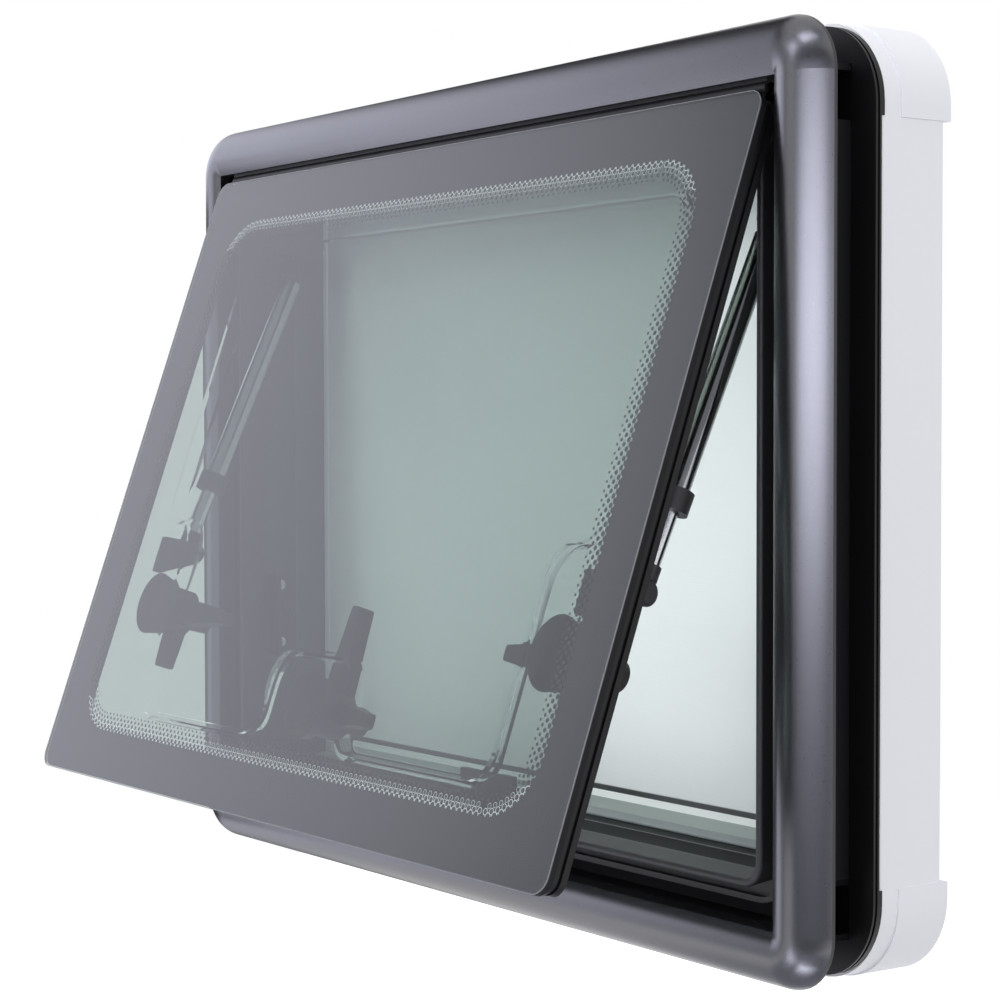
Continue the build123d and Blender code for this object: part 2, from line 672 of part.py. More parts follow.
# Stay brackets on the jambs: a plate, a boss and a pin with a head
with BuildPart() as jamb_brackets:
    for sign in (-1, 1):
        seat = sign * LINER_IN_W / 2
        plate = seat - sign * BRACKET_T
        eye_out = sign * (STAY_X + EYE_W / 2 + LEVER_GAP)
        eye_in = sign * (STAY_X - EYE_W / 2 - LEVER_GAP)
        with BuildSketch(Plane(origin=(seat, STAY_TOP_Y, STAY_TOP_Z), x_dir=(0, 1, 0), z_dir=(-sign, 0, 0))):
            RectangleRounded(BRACKET_D, BRACKET_H, BRACKET_T)
        extrude(amount=BRACKET_T)
        cross_cylinder(plate, eye_out, STAY_TOP_Y, STAY_TOP_Z, BOSS_R)
        cross_cylinder(eye_out, eye_in, STAY_TOP_Y, STAY_TOP_Z, STAY_PIN_R)
        cross_cylinder(eye_in, eye_in - sign * PIN_HEAD_T, STAY_TOP_Y, STAY_TOP_Z, PIN_HEAD_R)
finish(jamb_brackets.part, "jamb_brackets")

# Stay brackets on the sash: an ear that widens to a foot, with the pin for the rod's eye
with BuildPart() as sash_brackets:
    for sign in (-1, 1):
        ear_out = sign * (STAY_X - EYE_W / 2 - EAR_GAP)
        ear_mid = ear_out - sign * EAR_T / 2
        pin_end = sign * (STAY_X + EYE_W / 2 + LEVER_GAP)
        foot_v = FOOT_TOP_V + FOOT_H / 2
        with BuildSketch(sash_plane(ear_mid, foot_v, FLANGE_BACK)):
            RectangleRounded(FOOT_W, FOOT_H, FOOT_T / 2)
        extrude(amount=-FOOT_T)
        side_plane = Plane(
            origin=(ear_mid, PANE_TOP_Y, PANE_TOP_Z),
            x_dir=(0, cos(OPEN), -sin(OPEN)),
            z_dir=(1, 0, 0),
        )
        with BuildSketch(side_plane):
            with Locations((STAY_BACK, -STAY_V)):
                Circle(EYE_R)
            with Locations((FLANGE_BACK + FOOT_T / 2, -foot_v)):
                Rectangle(FOOT_T, FOOT_H)
            make_hull()
        extrude(amount=EAR_T / 2, both=True)
        cross_cylinder(ear_out, sign * (STAY_X - EYE_W / 2 - LEVER_GAP), stay_foot.Y, stay_foot.Z, PIN_HEAD_R)
        cross_cylinder(ear_mid, pin_end, stay_foot.Y, stay_foot.Z, STAY_PIN_R)
        cross_cylinder(pin_end, pin_end + sign * PIN_HEAD_T, stay_foot.Y, stay_foot.Z, PIN_HEAD_R)
finish(sash_brackets.part, "sash_brackets")

# Telescopic stays: tube with its eye, collar at the tube's mouth, and rod with the lower eye
for name, stay_x in (("left", -STAY_X), ("right", STAY_X)):
    eye_ends = (stay_x - EYE_W / 2, stay_x + EYE_W / 2)
    bore_ends = (stay_x - TUBE_R, stay_x + TUBE_R)
    with BuildPart() as stay_eye:
        cross_cylinder(*eye_ends, STAY_TOP_Y, STAY_TOP_Z, EYE_R)
        stay_cylinder(stay_x, 0, TUBE_START + COLLAR_LEN, TUBE_BORE_R)
        cross_cylinder(*bore_ends, STAY_TOP_Y, STAY_TOP_Z, STAY_PIN_R + PIN_CLEAR, Mode.SUBTRACT)
    finish(stay_eye.part, f"stay_eye_{name}")
    with BuildPart() as stay_tube:
        stay_cylinder(stay_x, TUBE_START, tube_end, TUBE_R)
        stay_cylinder(stay_x, TUBE_START, tube_end, TUBE_BORE_R, Mode.SUBTRACT)
    finish(stay_tube.part, f"stay_tube_{name}")
    with BuildPart() as stay_collar:
        stay_cylinder(stay_x, tube_end - COLLAR_LAP, tube_end + COLLAR_LEN - COLLAR_LAP, COLLAR_R)
        stay_cylinder(stay_x, tube_end - COLLAR_LAP, tube_end, TUBE_R, Mode.SUBTRACT)
        stay_cylinder(stay_x, tube_end, tube_end + COLLAR_LEN, ROD_R + ROD_CLEAR, Mode.SUBTRACT)
    finish(stay_collar.part, f"stay_collar_{name}")
    with BuildPart() as stay_rod:
        stay_cylinder(stay_x, ROD_INNER_END, stay_length - SOCKET_LEN, ROD_R)
    finish(stay_rod.part, f"stay_rod_{name}")
    with BuildPart() as rod_eye:
        cross_cylinder(*eye_ends, stay_foot.Y, stay_foot.Z, EYE_R)
        stay_cylinder(stay_x, stay_length - SOCKET_LEN, stay_length, ROD_R)
        stay_cylinder(stay_x, stay_length - SOCKET_LEN, stay_length - EYE_R, SOCKET_R)
        cross_cylinder(*bore_ends, stay_foot.Y, stay_foot.Z, STAY_PIN_R + PIN_CLEAR, Mode.SUBTRACT)
    finish(rod_eye.part, f"rod_eye_{name}")
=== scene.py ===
"""Looks of the caravan window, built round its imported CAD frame.

Metres, with X along the wall, Y inwards and Z up.
"""

import json
from math import cos, exp, pi, sin

import bmesh
import bpy
from mathutils import Matrix, Vector


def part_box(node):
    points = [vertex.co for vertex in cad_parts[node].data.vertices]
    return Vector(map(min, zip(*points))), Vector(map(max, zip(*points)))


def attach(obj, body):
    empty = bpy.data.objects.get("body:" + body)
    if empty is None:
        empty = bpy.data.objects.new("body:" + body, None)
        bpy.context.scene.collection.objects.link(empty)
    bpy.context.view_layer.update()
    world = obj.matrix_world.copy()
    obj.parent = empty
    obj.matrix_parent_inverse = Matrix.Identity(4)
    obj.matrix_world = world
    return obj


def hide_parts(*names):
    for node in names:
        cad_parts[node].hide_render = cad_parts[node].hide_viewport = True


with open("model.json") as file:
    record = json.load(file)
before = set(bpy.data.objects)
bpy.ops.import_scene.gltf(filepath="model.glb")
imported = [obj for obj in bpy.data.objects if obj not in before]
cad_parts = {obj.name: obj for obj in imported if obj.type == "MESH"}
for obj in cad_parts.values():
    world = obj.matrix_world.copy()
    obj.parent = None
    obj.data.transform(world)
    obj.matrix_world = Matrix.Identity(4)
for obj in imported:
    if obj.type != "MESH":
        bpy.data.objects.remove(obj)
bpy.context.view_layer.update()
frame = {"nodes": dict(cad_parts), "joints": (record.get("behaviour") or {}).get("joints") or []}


# Outer frame: one aluminium section, bent round the corners and coated in a satin
# metallic grey. It is bonded to the wall through the gasket behind it.
def grain_group():
    """A shader group that breaks up a plain finish: cloudy tint, uneven gloss and a fine bump."""
    group = bpy.data.node_groups.new("surface_grain", "ShaderNodeTree")
    for name, kind in (
        ("Colour", "NodeSocketColor"),
        ("Tint", "NodeSocketColor"),
        ("Gloss", "NodeSocketFloat"),
        ("Swing", "NodeSocketFloat"),
        ("Cloud Scale", "NodeSocketFloat"),
        ("Grain Scale", "NodeSocketFloat"),
        ("Depth", "NodeSocketFloat"),
    ):
        group.interface.new_socket(name, in_out="INPUT", socket_type=kind)
    for name, kind in (
        ("Colour", "NodeSocketColor"),
        ("Roughness", "NodeSocketFloat"),
        ("Normal", "NodeSocketVector"),
    ):
        group.interface.new_socket(name, in_out="OUTPUT", socket_type=kind)
    nodes, links = group.nodes, group.links
    given = nodes.new("NodeGroupInput")
    result = nodes.new("NodeGroupOutput")
    place = nodes.new("ShaderNodeTexCoord")
    cloud = nodes.new("ShaderNodeTexNoise")
    cloud.inputs["Detail"].default_value = 3.0
    grain = nodes.new("ShaderNodeTexNoise")
    grain.inputs["Detail"].default_value = 2.0
    blend = nodes.new("ShaderNodeMix")
    blend.data_type = "RGBA"
    swing = nodes.new("ShaderNodeMath")
    swing.operation = "MULTIPLY_ADD"
    bump = nodes.new("ShaderNodeBump")
    bump.inputs["Distance"].default_value = 0.001
    links.new(place.outputs["Object"], cloud.inputs["Vector"])
    links.new(place.outputs["Object"], grain.inputs["Vector"])
    links.new(given.outputs["Cloud Scale"], cloud.inputs["Scale"])
    links.new(given.outputs["Grain Scale"], grain.inputs["Scale"])
    links.new(cloud.outputs["Fac"], blend.inputs["Factor"])
    links.new(given.outputs["Colour"], blend.inputs["A"])
    links.new(given.outputs["Tint"], blend.inputs["B"])
    links.new(grain.outputs["Fac"], swing.inputs[0])
    links.new(given.outputs["Swing"], swing.inputs[1])
    links.new(given.outputs["Gloss"], swing.inputs[2])
    links.new(grain.outputs["Fac"], bump.inputs["Height"])
    links.new(given.outputs["Depth"], bump.inputs["Strength"])
    links.new(blend.outputs["Result"], result.inputs["Colour"])
    links.new(swing.outputs["Value"], result.inputs["Roughness"])
    links.new(bump.outputs["Normal"], result.inputs["Normal"])
    return group


surface_grain = grain_group()


def grained(name, colour, tint, gloss, swing, grain_scale, depth, cloud_scale=9.0, **sockets):
    """A material of one finish, broken up by the grain group, with plain shader values by name."""
    material = bpy.data.materials.new(name)
    material.use_nodes = True
    nodes, links = material.node_tree.nodes, material.node_tree.links
    shader = nodes["Principled BSDF"]
    grain = nodes.new("ShaderNodeGroup")
    grain.node_tree = surface_grain
    grain.inputs["Colour"].default_value = (*colour, 1.0)
    grain.inputs["Tint"].default_value = (*tint, 1.0)
    grain.inputs["Gloss"].default_value = gloss
    grain.inputs["Swing"].default_value = swing
    grain.inputs["Cloud Scale"].default_value = cloud_scale
    grain.inputs["Grain Scale"].default_value = grain_scale
    grain.inputs["Depth"].default_value = depth
    links.new(grain.outputs["Colour"], shader.inputs["Base Color"])
    links.new(grain.outputs["Roughness"], shader.inputs["Roughness"])
    links.new(grain.outputs["Normal"], shader.inputs["Normal"])
    for socket, value in sockets.items():
        shader.inputs[socket.replace("_", " ")].default_value = value
    return material


def dress(material, *nodes):
    """Give CAD nodes a better material."""
    for node in nodes:
        slots = frame["nodes"][node].data.materials
        slots.clear()
        slots.append(material)


frame_coat = grained(
    "frame_coat", (0.136, 0.137, 0.146), (0.152, 0.153, 0.162), 0.25, 0.08, 1500.0, 0.05, Metallic=1.0
)
dress(frame_coat, "outer_frame")

# Wall gasket and lip seal: matt black rubber. The gasket lies under the frame's foot, and the
# seal is pushed on to the step of the liner.
rubber = grained("seal_rubber", (0.016, 0.016, 0.017), (0.028, 0.028, 0.030), 0.42, 0.2, 1800.0, 0.12)
dress(rubber, "wall_gasket", "lip_seal")

# Liner: black box sections through the wall, screwed together behind the corners. The sill is
# matt, and the left jamb is smoother, with its colour painted paler as painted light bounced from the
# blind on to its inner face.
LINER_BLACK = (0.004, 0.004, 0.005)
LINER_TINT = (0.008, 0.008, 0.009)
liner_plastic = grained(
    "liner_plastic", LINER_BLACK, LINER_TINT, 0.42, 0.18, 900.0, 0.08, Specular_IOR_Level=0.3
)
dress(liner_plastic, "liner_head", "liner_jamb_right")
sill_plastic = grained(
    "sill_plastic", LINER_BLACK, LINER_TINT, 0.5, 0.18, 900.0, 0.08, Specular_IOR_Level=0.08
)
dress(sill_plastic, "liner_sill")
# Painted light: the left jamb is paler than the liner's black, standing in for light bounced from the
# blind.
jamb_painted_light_plastic = grained(
    "jamb_painted_light_plastic", (0.030, 0.030, 0.033), (0.040, 0.040, 0.044), 0.34, 0.12, 700.0, 0.02
)
dress(jamb_painted_light_plastic, "liner_jamb_left")

# Reveal: one satin black moulding behind the liner, black and matt along its sill, which the bar of the
# blind comes down on. Above the sill its colour is painted paler, as painted light bounced from the
# blind. It is held between the liner and the cassette.
reveal_low, reveal_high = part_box("blind_reveal")
REVEAL_T = 0.003
SILL_DARK_RISE = 0.0005
SILL_SHEEN = 0.05
JAMB_SHEEN = 0.5


def reveal_painted_light_material():
    """Satin plastic painted paler above the sill's level, as painted light bounced from the blind; matt
    black at the sill's level.
    """
    material = grained(
        "reveal_painted_light", (0.055, 0.055, 0.059), (0.067, 0.067, 0.072), 0.34, 0.12, 700.0, 0.02
    )
    nodes, links = material.node_tree.nodes, material.node_tree.links
    shader = nodes["Principled BSDF"]
    # Painted light: this satin colour above the sill is paler than black, standing in for light bounced
    # from the blind.
    satin = shader.inputs["Base Color"].links[0].from_socket
    place = nodes.new("ShaderNodeTexCoord")
    split = nodes.new("ShaderNodeSeparateXYZ")
    above = nodes.new("ShaderNodeMath")
    above.operation = "GREATER_THAN"
    above.inputs[1].default_value = reveal_low.z + REVEAL_T + SILL_DARK_RISE
    sheen = nodes.new("ShaderNodeMapRange")
    sheen.inputs["To Min"].default_value = SILL_SHEEN
    sheen.inputs["To Max"].default_value = JAMB_SHEEN
    blend = nodes.new("ShaderNodeMix")
    blend.data_type = "RGBA"
    blend.inputs["A"].default_value = (*LINER_BLACK, 1.0)
    links.new(place.outputs["Object"], split.inputs["Vector"])
    links.new(split.outputs["Z"], above.inputs[0])
    links.new(above.outputs["Value"], sheen.inputs["Value"])
    links.new(above.outputs["Value"], blend.inputs["Factor"])
    links.new(satin, blend.inputs["B"])
    links.new(blend.outputs["Result"], shader.inputs["Base Color"])
    links.new(sheen.outputs["Result"], shader.inputs["Specular IOR Level"])
    return material


dress(reveal_painted_light_material(), "blind_reveal")


# Joint bead: a thin cord, pressed into the joint between the liner and the reveal
# and standing a little proud of both. Its grey is a painted highlight along the joint.
def new_piece(name, bm, material, body="window"):
    """Turn a finished bmesh into a piece that rides on a body."""
    mesh = bpy.data.meshes.new(name)
    bm.to_mesh(mesh)
    bm.free()
    mesh.materials.append(material)
    piece = bpy.data.objects.new(name, mesh)
    bpy.context.scene.collection.objects.link(piece)
    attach(piece, body)
    return piece


def rounded_loop(bm, width, height, radius, z, segments=12):
    """Edges of a flat rounded rectangle about the origin, at height z."""
    corners = bmesh.ops.create_grid(bm, x_segments=1, y_segments=1, size=0.5)["verts"]
    bmesh.ops.scale(bm, vec=(width, height, 1.0), verts=corners)
    bmesh.ops.translate(bm, vec=(0, 0, z), verts=corners)
    rounded = bmesh.ops.bevel(
        bm,
        geom=corners,
        offset=radius,
        offset_type="OFFSET",
        affect="VERTICES",
        segments=segments,
        profile=0.5,
        material=-1,
    )
    face = rounded["verts"][0].link_faces[0]
    edges = list(face.edges)
    bmesh.ops.delete(bm, geom=[face], context="FACES_ONLY")
    return edges


BEAD_HALF = 0.0005
BEAD_PROUD = 0.0004
LINER_R = 0.0002
bead_w = reveal_high.x - reveal_low.x - 2 * REVEAL_T
bead_h = reveal_high.z - reveal_low.z - 2 * REVEAL_T
bm = bmesh.new()
loops = []
for side, proud in ((-1, 0.0), (-1, BEAD_PROUD), (1, BEAD_PROUD), (1, 0.0)):
    depth = reveal_low.y + side * BEAD_HALF
    loops.append(rounded_loop(bm, bead_w - 2 * proud, bead_h - 2 * proud, LINER_R, -depth, segments=2))
for first, second in zip(loops, loops[1:]):
    bmesh.ops.bridge_loops(bm, edges=first + second)
bmesh.ops.rotate(bm, matrix=Matrix.Rotation(pi / 2, 3, "X"), verts=bm.verts)
# Painted highlight: the bead's pale grey stands in for the light caught along the joint.
bead_painted_highlight = grained("bead_painted_highlight", (0.11, 0.11, 0.115), (0.14, 0.14, 0.145), 0.45, 0.15, 1500.0, 0.05)
new_piece("joint_bead", bm, bead_painted_highlight)

# Clamp ring: a black moulded ring, drawn against the inside of the wall, so that the wall is held
# between it and the outer frame.
clamp_plastic = grained(
    "clamp_plastic",
    (0.005, 0.005, 0.006),
    (0.010, 0.010, 0.011),
    0.32,
    0.12,
    1200.0,
    0.04,
    Specular_IOR_Level=0.3,
)
dress(clamp_plastic, "clamp_ring")

# Cassette: white coated sections for the blind, joined by moulded corner pieces and clipped
# over the clamp ring.
white_coat = grained("cassette_coat", (0.81, 0.82, 0.88), (0.84, 0.85, 0.90), 0.36, 0.12, 1500.0, 0.05)
dress(white_coat, "cassette_head", "cassette_sill", "cassette_left", "cassette_right")
dress(white_coat, "cassette_corners")


# Roller blind: a smooth coated cloth hung from the head of the cassette and drawn down,
# with a hollow bar in its hem.
def cloth_material():
    """Light coated cloth with a fine plain weave."""
    material = grained("blind_cloth", (0.84, 0.87, 0.88), (0.86, 0.89, 0.90), 0.55, 0.15, 900.0, 0.0)
    nodes, links = material.node_tree.nodes, material.node_tree.links
    shader = nodes["Principled BSDF"]
    place = nodes.new("ShaderNodeTexCoord")
    bump = nodes.new("ShaderNodeBump")
    bump.inputs["Strength"].default_value = 0.15
    bump.inputs["Distance"].default_value = 0.0004
    heights = []
    for direction in ("X", "Z"):
        thread = nodes.new("ShaderNodeTexWave")
        thread.bands_direction = direction
        thread.inputs["Scale"].default_value = 260.0
        thread.inputs["Distortion"].default_value = 0.4
        links.new(place.outputs["Object"], thread.inputs["Vector"])
        heights.append(thread.outputs["Fac"])
    weave = nodes.new("ShaderNodeMath")
    weave.operation = "MAXIMUM"
    links.new(heights[0], weave.inputs[0])
    links.new(heights[1], weave.inputs[1])
    links.new(weave.outputs["Value"], bump.inputs["Height"])
    links.new(bump.outputs["Normal"], shader.inputs["Normal"])
    return material


cloth_low, cloth_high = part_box("blind_cloth")
cloth_size = cloth_high - cloth_low
CLOTH_CELLS = (76, 52)
bm = bmesh.new()
bmesh.ops.create_grid(bm, x_segments=CLOTH_CELLS[0], y_segments=CLOTH_CELLS[1], size=0.5)
bmesh.ops.scale(bm, vec=(cloth_size.x, cloth_size.z, 1.0), verts=bm.verts)
bmesh.ops.rotate(bm, matrix=Matrix.Rotation(pi / 2, 3, "X"), verts=bm.verts)
bmesh.ops.translate(bm, vec=(cloth_low + cloth_high) / 2, verts=bm.verts)
CLOTH_WAVE = 0.0004
CLOTH_WAVES = 7.0
for vert in bm.verts:
    across = (vert.co.x - cloth_low.x) / cloth_size.x
    fall = (cloth_high.z - vert.co.z) / cloth_size.z
    vert.co.y += CLOTH_WAVE * sin(2 * pi * CLOTH_WAVES * across) * sin(pi * fall)
cloth = new_piece("blind_sheet", bm, cloth_material())
CLOTH_T = 0.0004
thickness = cloth.modifiers.new("thickness", "SOLIDIFY")
thickness.thickness = CLOTH_T
thickness.offset = 0.0
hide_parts("blind_cloth")

bar_low, bar_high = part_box("blind_bar")
# Bands up the bar from its bottom: grey painted shade on the lower part, the face's own pale green, a
# white painted highlight on the slope and the hem slot's painted shadow at the top.
BAR_TONE_AND_LIGHT_BANDS = (
    (0.0, (0.30, 0.33, 0.33)),
    (0.31, (0.40, 0.46, 0.44)),
    (0.66, (0.84, 0.87, 0.86)),
    (0.84, (0.05, 0.055, 0.055)),
)


def bar_painted_light_material():
    """Coated bar in height bands: a grey foot of painted shade, the pale green face, a white slope that
    is a painted highlight and the painted shadow of the hem's slot, one above another.
    """
    material = grained("bar_coat_painted_light", (0.6, 0.6, 0.6), (0.6, 0.6, 0.6), 0.30, 0.1, 1500.0, 0.03)
    nodes, links = material.node_tree.nodes, material.node_tree.links
    place = nodes.new("ShaderNodeTexCoord")
    split = nodes.new("ShaderNodeSeparateXYZ")
    level = nodes.new("ShaderNodeMapRange")
    level.inputs["From Min"].default_value = bar_low.z
    level.inputs["From Max"].default_value = bar_high.z
    bands = nodes.new("ShaderNodeValToRGB")
    bands.color_ramp.interpolation = "CONSTANT"
    steps = bands.color_ramp.elements
    while len(steps) < len(BAR_TONE_AND_LIGHT_BANDS):
        steps.new(1.0)
    for step, (share, colour) in zip(steps, BAR_TONE_AND_LIGHT_BANDS):
        step.position = share
        step.color = (*colour, 1.0)
    links.new(place.outputs["Object"], split.inputs["Vector"])
    links.new(split.outputs["Z"], level.inputs["Value"])
    links.new(level.outputs["Result"], bands.inputs["Fac"])
    links.new(bands.outputs["Color"], nodes["Principled BSDF"].inputs["Base Color"])
    return material


dress(bar_painted_light_material(), "blind_bar")

# Bar foot: the bar's coated lip. It is one with the bar, slopes forward from its face and rests on
# the sill of the reveal.
FOOT_FRONT = 0.0096
FOOT_TOP = 0.0061
FOOT_EDGE = 0.0012
FOOT_SUNK = 0.0022
FOOT_ROUND = 0.0004
foot_low = reveal_low.z + REVEAL_T
foot_side = (reveal_high.x - reveal_low.x) / 2 - REVEAL_T
bm = bmesh.new()
profile = (
    (bar_low.y + FOOT_SUNK, foot_low),
    (bar_low.y - FOOT_FRONT, foot_low),
    (bar_low.y - FOOT_FRONT, foot_low + FOOT_EDGE),
    (bar_low.y, bar_low.z + FOOT_TOP),
    (bar_low.y + FOOT_SUNK, bar_low.z + FOOT_TOP),
)
end = bm.faces.new([bm.verts.new((-foot_side, y, z)) for y, z in profile])
swept = bmesh.ops.extrude_face_region(bm, geom=[end])["geom"]
moved = [item for item in swept if isinstance(item, bmesh.types.BMVert)]
bmesh.ops.translate(bm, vec=(2 * foot_side, 0, 0), verts=moved)
long_edges = [edge for edge in bm.edges if abs(edge.verts[0].co.x - edge.verts[1].co.x) > foot_side]
bmesh.ops.bevel(
    bm, geom=long_edges, offset=FOOT_ROUND, affect="EDGES", segments=2, profile=0.5, material=-1
)
bmesh.ops.recalc_face_normals(bm, faces=bm.faces)
# Painted shade: the foot's coat is a darker grey than the bar's face, standing in for shade on the
# bar's lower side.
foot_painted_shade = grained("foot_painted_shade", (0.22, 0.25, 0.25), (0.26, 0.28, 0.29), 0.30, 0.1, 1500.0, 0.03)
new_piece("bar_foot", bm, foot_painted_shade)


# Outer pane: tinted toughened glass with ground edges. It has a dark border fired on to its
# back, with rows of shrinking dots along the border's inner edge.
def glass(name, colour, ior, wave_scale, wave_depth):
    """Clear sheet with a faint waviness in its faces."""
    material = bpy.data.materials.new(name)
    material.use_nodes = True
    nodes, links = material.node_tree.nodes, material.node_tree.links
    shader = nodes["Principled BSDF"]
    shader.inputs["Base Color"].default_value = (*colour, 1.0)
    shader.inputs["Roughness"].default_value = 0.0
    shader.inputs["Transmission Weight"].default_value = 1.0
    shader.inputs["IOR"].default_value = ior
    place = nodes.new("ShaderNodeTexCoord")
    wave = nodes.new("ShaderNodeTexNoise")
    wave.inputs["Scale"].default_value = wave_scale
    wave.inputs["Detail"].default_value = 1.0
    bump = nodes.new("ShaderNodeBump")
    bump.inputs["Strength"].default_value = wave_depth
    bump.inputs["Distance"].default_value = 0.001
    links.new(place.outputs["Object"], wave.inputs["Vector"])
    links.new(wave.outputs["Fac"], bump.inputs["Height"])
    links.new(bump.outputs["Normal"], shader.inputs["Normal"])
    return material


tinted_glass = glass("tinted_glass", (0.355, 0.425, 0.392), 1.50, 6.0, 0.02)
dress(tinted_glass, "outer_pane")
frame["nodes"]["outer_pane"].visible_shadow = False

PANE_T = 0.004
outward = Vector(frame["joints"][0]["axis"])
up_pane = Vector((1, 0, 0)).cross(outward) * -1
pane_low, pane_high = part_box("outer_pane")
pane_w = pane_high.x - pane_low.x
pane_h = (pane_high.z - pane_low.z - PANE_T * outward.z) / up_pane.z
pane_top = Vector((0, pane_high.y + PANE_T * outward.y, pane_high.z))
pane_middle = pane_top - up_pane * pane_h / 2
SASH = Matrix.Translation(pane_middle) @ Matrix(((1, 0, 0), up_pane, outward)).transposed().to_4x4()


PRINT_BACK = 0.0039
BORDER_W = 0.0305
BORDER_R = 0.038
PANE_R = 0.010
PRINT_EDGE = 0.0005
bm = bmesh.new()
outside = rounded_loop(bm, pane_w - 2 * PRINT_EDGE, pane_h - 2 * PRINT_EDGE, PANE_R, -PRINT_BACK)
inside = rounded_loop(bm, pane_w - 2 * BORDER_W, pane_h - 2 * BORDER_W, BORDER_R, -PRINT_BACK)
bmesh.ops.bridge_loops(bm, edges=outside + inside)
DOT_PITCH = 0.0049
DOT_ROWS = (
    (0.0001, 0.00185),
    (0.0027, 0.0015),
    (0.0057, 0.0013),
    (0.0086, 0.00105),
    (0.0113, 0.0008),
)
DOT_SIDES = 12
CORNER_DOTS = 11
LUSTRE_BACK = 0.00003
LUSTRE_W = (0.0005, 0.0004, 0.00025)


def lustre_ring(bm, middle, inner, outer):
    """The pale fired edge round a dot of the head and foot rows, as a flat ring."""
    turns = [2 * pi * side / DOT_SIDES for side in range(DOT_SIDES)]
    rays = [Vector((cos(turn), sin(turn), 0)) for turn in turns]
    loops = [[bm.verts.new(middle + radius * ray) for ray in rays] for radius in (inner, outer)]
    for side in range(DOT_SIDES):
        bm.faces.new((loops[0][side - 1], loops[1][side - 1], loops[1][side], loops[0][side]))


rings = bmesh.new()
arc_x = pane_w / 2 - BORDER_W - BORDER_R
arc_y = pane_h / 2 - BORDER_W - BORDER_R
runs = ((arc_x, pane_h / 2 - BORDER_W, False), (arc_y, pane_w / 2 - BORDER_W, True))
for row, (inset, dot_r) in enumerate(DOT_ROWS):
    stagger = 0.5 * (row % 2)
    spots = []
    for half_run, reach, turned in runs:
        steps = round(2 * half_run / DOT_PITCH)
        for step in range(steps):
            along = -half_run + (step + stagger) * 2 * half_run / steps
            for side in (-1, 1):
                spot = (along, side * (reach - inset))
                spots.append(spot[::-1] if turned else spot)
    for side_x in (-1, 1):
        for side_y in (-1, 1):
            for step in range(CORNER_DOTS):
                angle = pi / 2 * (step + stagger) / CORNER_DOTS
                spot_x = arc_x + (BORDER_R - inset) * cos(angle)
                spot_y = arc_y + (BORDER_R - inset) * sin(angle)
                spots.append((side_x * spot_x, side_y * spot_y))
    for spot in spots:
        place = Matrix.Translation((*spot, -PRINT_BACK))
        bmesh.ops.create_circle(bm, cap_ends=True, segments=DOT_SIDES, radius=dot_r, matrix=place)
        if row < len(LUSTRE_W) and abs(spot[1]) > arc_y + BORDER_R / 2:
            middle = Vector((*spot, -PRINT_BACK - LUSTRE_BACK))
            lustre_ring(rings, middle, dot_r, dot_r + LUSTRE_W[row])
bmesh.ops.transform(bm, matrix=SASH, verts=bm.verts)
bmesh.ops.transform(rings, matrix=SASH, verts=rings.verts)
enamel = grained("border_enamel", (0.022, 0.021, 0.026), (0.030, 0.029, 0.035), 0.35, 0.1, 1500.0, 0.0)
new_piece("border_print", bm, enamel)
lustre = grained("dot_lustre", (0.84, 0.86, 0.88), (0.90, 0.92, 0.94), 0.5, 0.1, 1500.0, 0.0)
new_piece("dot_lattice", rings, lustre)

# Edge of the pane: ground to a pale chamfer along its front. The rest of it is covered by the
# black sealant that bonds the pane to its rail.
EDGE_T = 0.0003
ARRIS_D = 0.0007
SEALANT_D = 0.0041


def edge_band(name, front, back, material):
    """A thin band round the pane's edge, between two depths behind its face."""
    bm = bmesh.new()
    loops = []
    for depth, proud in ((front, 0.0), (front, EDGE_T), (back, EDGE_T), (back, 0.0)):
        loops.append(rounded_loop(bm, pane_w + 2 * proud, pane_h + 2 * proud, PANE_R + proud, -depth))
    for first, second in zip(loops, loops[1:]):
        bmesh.ops.bridge_loops(bm, edges=first + second)
    bmesh.ops.transform(bm, matrix=SASH, verts=bm.verts)
    return new_piece(name, bm, material)


ground_glass = grained("ground_glass", (0.15, 0.16, 0.17), (0.19, 0.20, 0.21), 0.45, 0.15, 1500.0, 0.1)
edge_band("pane_arris", 0.0, ARRIS_D, ground_glass)
RAIL_BLACK = (0.005, 0.005, 0.006)
RAIL_TINT = (0.009, 0.009, 0.010)
sealant = grained(
    "edge_sealant", RAIL_BLACK, RAIL_TINT, 0.5, 0.2, 1500.0, 0.1, Specular_IOR_Level=0.2
)
edge_band("pane_edge_seal", ARRIS_D, SEALANT_D, sealant)

# Sash rail, hinge bead and hinge channel: black extruded sections. The rail is bonded behind
# the pane's edge, and the bead on its top hangs in the channel.
rail_plastic = grained(
    "rail_plastic", RAIL_BLACK, RAIL_TINT, 0.34, 0.15, 1300.0, 0.06, Specular_IOR_Level=0.25
)
dress(rail_plastic, "sash_rail", "hinge_bead", "hinge_channel")

# Inner pane: a clear acrylic sheet, moulded with a raised middle that steps round the latches, and
# bonded to the back of the rail.
clear_acrylic = glass("clear_acrylic", (0.92, 0.95, 0.95), 1.07, 9.0, 0.06)
dress(clear_acrylic, "inner_pane")
frame["nodes"]["inner_pane"].visible_shadow = False

# Latches: black moulded bases, screwed through the inner pane, and levers that turn on them.
# Both have a fine eroded grain.
latch_plastic = grained(
    "latch_plastic", (0.012, 0.012, 0.013), (0.024, 0.024, 0.026), 0.40, 0.2, 2200.0, 0.2
)
dress(latch_plastic, "latch_bases", "latch_lever_left", "latch_lever_right", "latch_lever_bottom")

# Strikers and stay brackets: black mouldings with the latches' grain. The strikers and one end of
# each stay are screwed to the liner, and the other end to the sash.
dress(latch_plastic, "strikers", "jamb_brackets", "sash_brackets")

